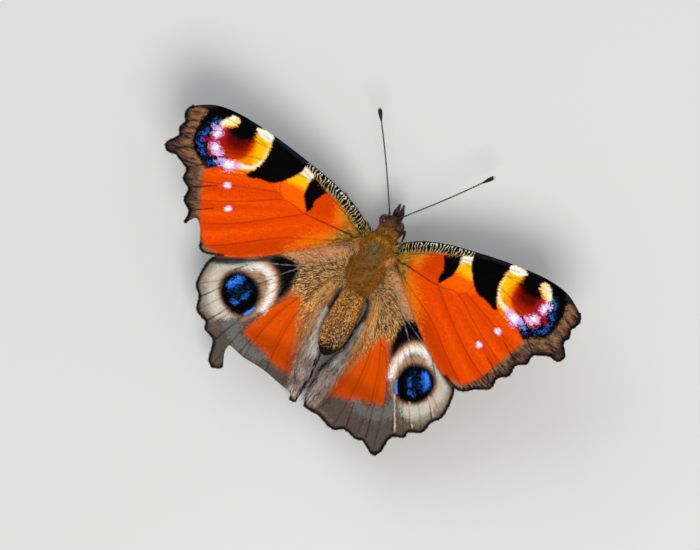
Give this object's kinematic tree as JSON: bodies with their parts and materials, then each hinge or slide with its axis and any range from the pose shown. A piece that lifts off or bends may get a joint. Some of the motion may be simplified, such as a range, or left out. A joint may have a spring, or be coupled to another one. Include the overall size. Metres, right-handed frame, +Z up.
{
  "type": "peacock butterfly",
  "caption": "Still, life-size peacock butterfly standing with spread eyespotted wings, feelers held forward, and scalloped wing borders.",
  "frame": {"origin": "on the floor, under the middle of the bounding box", "axes": "+Z up, the head points to -Y, the animal's left wings point to +X"},
  "size_m": [0.0604, 0.0406, 0.015],
  "materials": {
    "head_fur": "brown hairs with dark scales",
    "thorax_fur": "olive brown and golden fur",
    "abdomen_fur": "ochre scales with dark flecks",
    "eye": "dark brown, faintly glossy",
    "palp": "dark brown scales",
    "antenna": "dark with fine pale rings and a black club",
    "proboscis": "dark brown horn",
    "leg": "brown scales and short hairs",
    "forewing": "brick-red scales with an eyespot, black patches and a grey-brown border",
    "hindwing": "brown and brick-red scales with a blue eyespot and a grey-brown border"
  },
  "bodies": {
    "root": {"head": "head_fur", "eye_left": "eye", "eye_right": "eye", "palp_left": "palp", "palp_right": "palp", "antenna_left": "antenna", "antenna_right": "antenna", "proboscis": "proboscis", "thorax": "thorax_fur", "abdomen": "abdomen_fur", "foreleg_left": "leg", "foreleg_right": "leg", "midleg_left": "leg", "midleg_right": "leg", "hindleg_left": "leg", "hindleg_right": "leg", "forewing_left": "forewing", "forewing_right": "forewing", "hindwing_left": "hindwing", "hindwing_right": "hindwing"}
  },
  "joints": []
}
